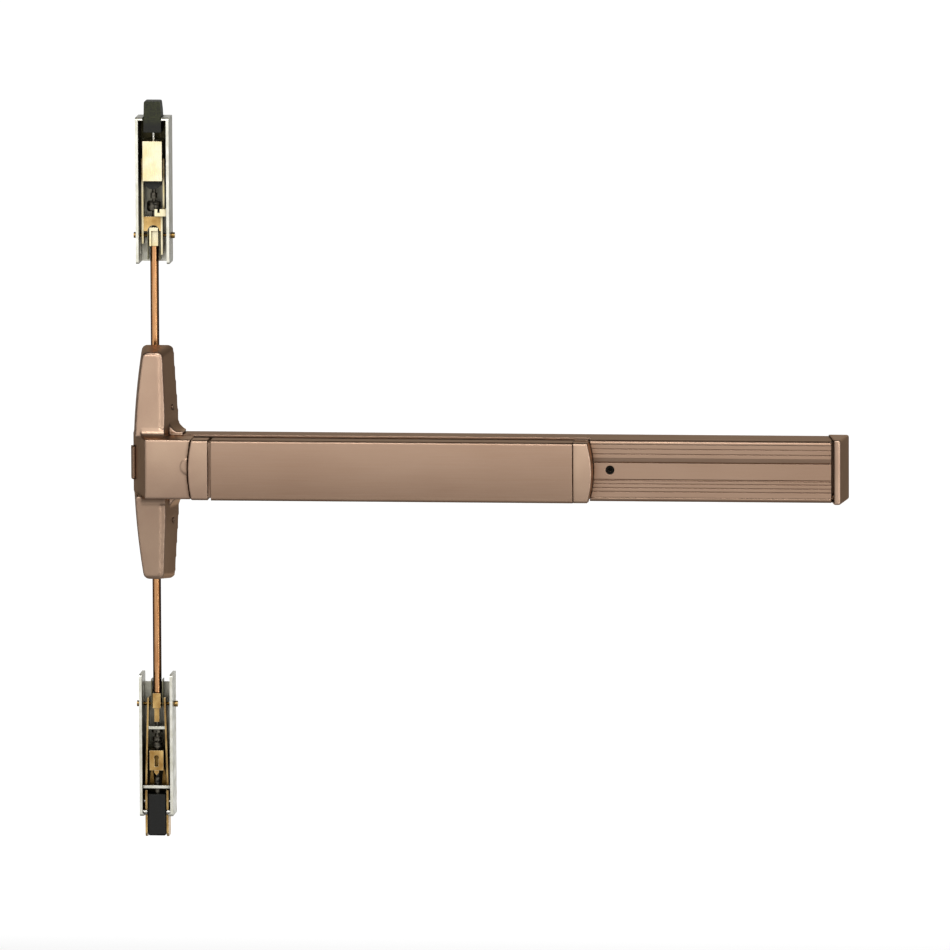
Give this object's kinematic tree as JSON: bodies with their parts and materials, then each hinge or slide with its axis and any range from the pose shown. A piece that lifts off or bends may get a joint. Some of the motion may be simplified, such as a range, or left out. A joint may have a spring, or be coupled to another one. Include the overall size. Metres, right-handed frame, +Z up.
{
  "type": "vertical rod exit device",
  "caption": "Push bar exit device with a centre case, concealed vertical rods and open top and bottom latches.",
  "frame": {"origin": "on the door's face, level with the middle of the push bar and in line with both rods", "axes": "+X along the push bar away from the centre case, -Y out of the door towards the user, +Z up along the rods"},
  "size_m": [0.6849, 0.106, 0.7063],
  "materials": {
    "bronze_casting": "satin bronze lacquer",
    "bronze_extrusion": "bronze anodised",
    "bronze_screw": "bronze plated",
    "plated_steel": "zinc plated",
    "bright_steel": "turned",
    "black_steel": "blackened",
    "brass": "satin",
    "bronze_rod": "drawn",
    "black_nylon": "moulded",
    "black_rubber": "moulded"
  },
  "bodies": {
    "frame": {"rail": "bronze_extrusion", "rail_cover": "bronze_extrusion", "end_cap": "bronze_casting", "end_bracket": "plated_steel", "crank_stands": "plated_steel", "crank_pivots": "bright_steel", "dogging_bracket": "plated_steel", "spring_bracket": "plated_steel", "center_case": "bronze_casting", "center_chassis": "plated_steel", "side_plug": "bronze_casting", "case_screws": "bronze_screw", "lifter_pivots": "bright_steel", "top_channel": "plated_steel", "bottom_channel": "plated_steel"},
    "push_bar": {"push_bar": "bronze_extrusion", "push_bar_end_left": "bronze_casting", "push_bar_end_right": "bronze_casting", "push_bar_forks": "plated_steel"},
    "crank_left": {"bell_crank_left": "plated_steel"},
    "crank_right": {"bell_crank_right": "plated_steel"},
    "link": {"link_bar": "plated_steel", "spring_rod": "bright_steel", "link_spring": "black_steel", "actuator_slide": "plated_steel", "actuator_rivet": "bright_steel"},
    "upper_lifter": {"upper_lifter": "plated_steel"},
    "lower_lifter": {"lower_lifter": "plated_steel"},
    "top_rod": {"upper_finger": "plated_steel", "upper_rod": "bronze_rod", "upper_rod_nuts": "bright_steel", "top_bolt": "black_nylon", "top_stem": "plated_steel", "top_block": "brass", "top_yokes": "brass", "top_cross_pin": "brass", "top_connector": "brass", "top_plate": "brass", "top_catch": "brass", "top_adjuster": "black_steel", "top_buffer": "black_rubber", "top_rod_clip": "plated_steel"},
    "bottom_rod": {"lower_finger": "plated_steel", "lower_rod": "bronze_rod", "lower_rod_nuts": "bright_steel", "bottom_bolt": "black_nylon", "bottom_side_plates": "brass", "bottom_bolt_pin": "plated_steel", "bottom_lower_bar": "plated_steel", "bottom_yokes": "brass", "bottom_cross_pin": "brass", "bottom_connector": "brass", "bottom_upper_plate": "plated_steel", "bottom_adjuster": "black_steel", "bottom_block": "brass", "bottom_pointer": "brass", "bottom_carrier": "brass", "bottom_rod_clip": "plated_steel"},
    "dogging": {"dogging_screw": "black_steel", "dogging_hook": "bright_steel"}
  },
  "joints": [
    {"name": "bar_push", "type": "slide", "parent": "frame", "child": "push_bar", "axis": [0, 1, 0], "range_m": [0, 0.019], "stiffness_N_per_m": 1500, "springref_m": -0.012},
    {"name": "crank_left_turn", "type": "hinge", "parent": "frame", "child": "crank_left", "pos_m": [0.11, -0.02, 0], "axis": [0, 0, 1], "range_deg": [0, 39.7]},
    {"name": "crank_right_turn", "type": "hinge", "parent": "frame", "child": "crank_right", "pos_m": [0.36, -0.02, 0], "axis": [0, 0, 1], "range_deg": [0, 39.7]},
    {"name": "link_slide", "type": "slide", "parent": "frame", "child": "link", "axis": [1, 0, 0], "range_m": [0, 0.00951], "deforming": ["link_spring"]},
    {"name": "upper_lifter_turn", "type": "hinge", "parent": "frame", "child": "upper_lifter", "pos_m": [0.024, -0.0125, 0.02], "axis": [0, -1, 0], "range_deg": [0, 39.7]},
    {"name": "lower_lifter_turn", "type": "hinge", "parent": "frame", "child": "lower_lifter", "pos_m": [0.024, -0.0125, -0.02], "axis": [0, 1, 0], "range_deg": [0, 39.7]},
    {"name": "top_rod_draw", "type": "slide", "parent": "frame", "child": "top_rod", "axis": [0, 0, -1], "range_m": [0, 0.0163]},
    {"name": "bottom_rod_draw", "type": "slide", "parent": "frame", "child": "bottom_rod", "axis": [0, 0, 1], "range_m": [0, 0.0163]},
    {"name": "dogging_turn", "type": "hinge", "parent": "frame", "child": "dogging", "pos_m": [0.4402, -0.03, 0.0008], "axis": [0, 1, 0], "range_deg": [0, 90]}
  ],
  "couplings": [
    {"joint": "crank_left_turn", "follows": "bar_push", "rad_per_m": 36.438},
    {"joint": "crank_right_turn", "follows": "bar_push", "rad_per_m": 36.438},
    {"joint": "link_slide", "follows": "bar_push", "ratio": 0.5},
    {"joint": "upper_lifter_turn", "follows": "bar_push", "rad_per_m": 36.438},
    {"joint": "lower_lifter_turn", "follows": "bar_push", "rad_per_m": 36.438},
    {"joint": "top_rod_draw", "follows": "bar_push", "ratio": 0.85714},
    {"joint": "bottom_rod_draw", "follows": "bar_push", "ratio": 0.85714}
  ]
}
